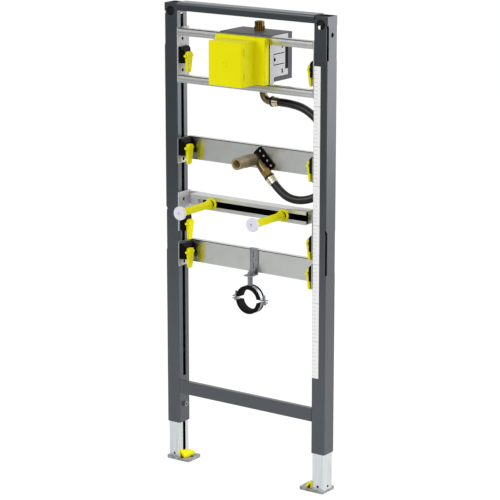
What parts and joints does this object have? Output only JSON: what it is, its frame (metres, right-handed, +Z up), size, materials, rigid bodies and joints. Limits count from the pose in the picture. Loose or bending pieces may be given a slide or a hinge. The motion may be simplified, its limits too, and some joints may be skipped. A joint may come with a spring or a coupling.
{
  "type": "urinal installation frame",
  "caption": "Tall slotted steel frame for hanging a wall urinal, with adjustable feet, flush valve, hose, outlet elbow, fixing bolts and drain clamp.",
  "frame": {"origin": "on the floor, midway between the two floor anchor holes", "axes": "+Z up, +X along the frame to the right seen from the front, +Y to the back"},
  "size_m": [0.5, 0.228, 1.226],
  "materials": {
    "anthracite_paint": "satin powder coat",
    "zinc_steel": "galvanised",
    "foot_steel": "bright zinc",
    "yellow_plastic": "moulded satin",
    "black_plastic": "moulded matt",
    "white_plastic": "moulded satin",
    "grey_plastic": "moulded satin",
    "brass": "cast and turned",
    "black_rubber": "smooth",
    "paper": "printed paper"
  },
  "bodies": {
    "frame": {"bolt_caps": "white_plastic", "bolt_rail": "zinc_steel", "bolt_rods": "zinc_steel", "bolt_sleeves": "yellow_plastic", "bottom_crossbar": "anthracite_paint", "drain_hanger": "zinc_steel", "drain_stud": "zinc_steel", "drain_traverse": "zinc_steel", "ear_screws": "zinc_steel", "flush_elbow": "brass", "height_scale": "paper", "hose": "black_rubber", "inlet_stub": "brass", "left_bolt_bracket": "zinc_steel", "left_clamp_blocks": "black_plastic", "left_clamp_levers": "yellow_plastic", "left_lock_screw": "zinc_steel", "left_post": "anthracite_paint", "left_valve_plate": "zinc_steel", "left_valve_side": "zinc_steel", "lower_drain_liner": "black_rubber", "lower_drain_shell": "zinc_steel", "lower_hose_ferrule": "brass", "lower_valve_rail": "zinc_steel", "outlet_bracket": "black_plastic", "outlet_elbow": "brass", "outlet_nut": "brass", "outlet_spigot": "brass", "outlet_traverse": "zinc_steel", "right_bolt_bracket": "zinc_steel", "right_clamp_blocks": "black_plastic", "right_clamp_levers": "yellow_plastic", "right_lock_screw": "zinc_steel", "right_post": "anthracite_paint", "right_valve_plate": "zinc_steel", "right_valve_side": "zinc_steel", "top_crossbar": "anthracite_paint", "upper_drain_liner": "black_rubber", "upper_drain_shell": "zinc_steel", "upper_hose_ferrule": "brass", "upper_valve_rail": "zinc_steel", "valve_body": "brass", "valve_carrier": "grey_plastic", "valve_cover": "yellow_plastic"},
    "left_foot": {"left_foot_leg": "foot_steel", "left_foot_plate": "foot_steel", "left_foot_wedge": "yellow_plastic"},
    "right_foot": {"right_foot_leg": "foot_steel", "right_foot_plate": "foot_steel", "right_foot_wedge": "yellow_plastic"}
  },
  "joints": [
    {"name": "left_foot_slide", "type": "slide", "parent": "frame", "child": "left_foot", "axis": [0, 0, -1], "range_m": [-0.06, 0.1]},
    {"name": "right_foot_slide", "type": "slide", "parent": "frame", "child": "right_foot", "axis": [0, 0, -1], "range_m": [-0.06, 0.1]}
  ]
}
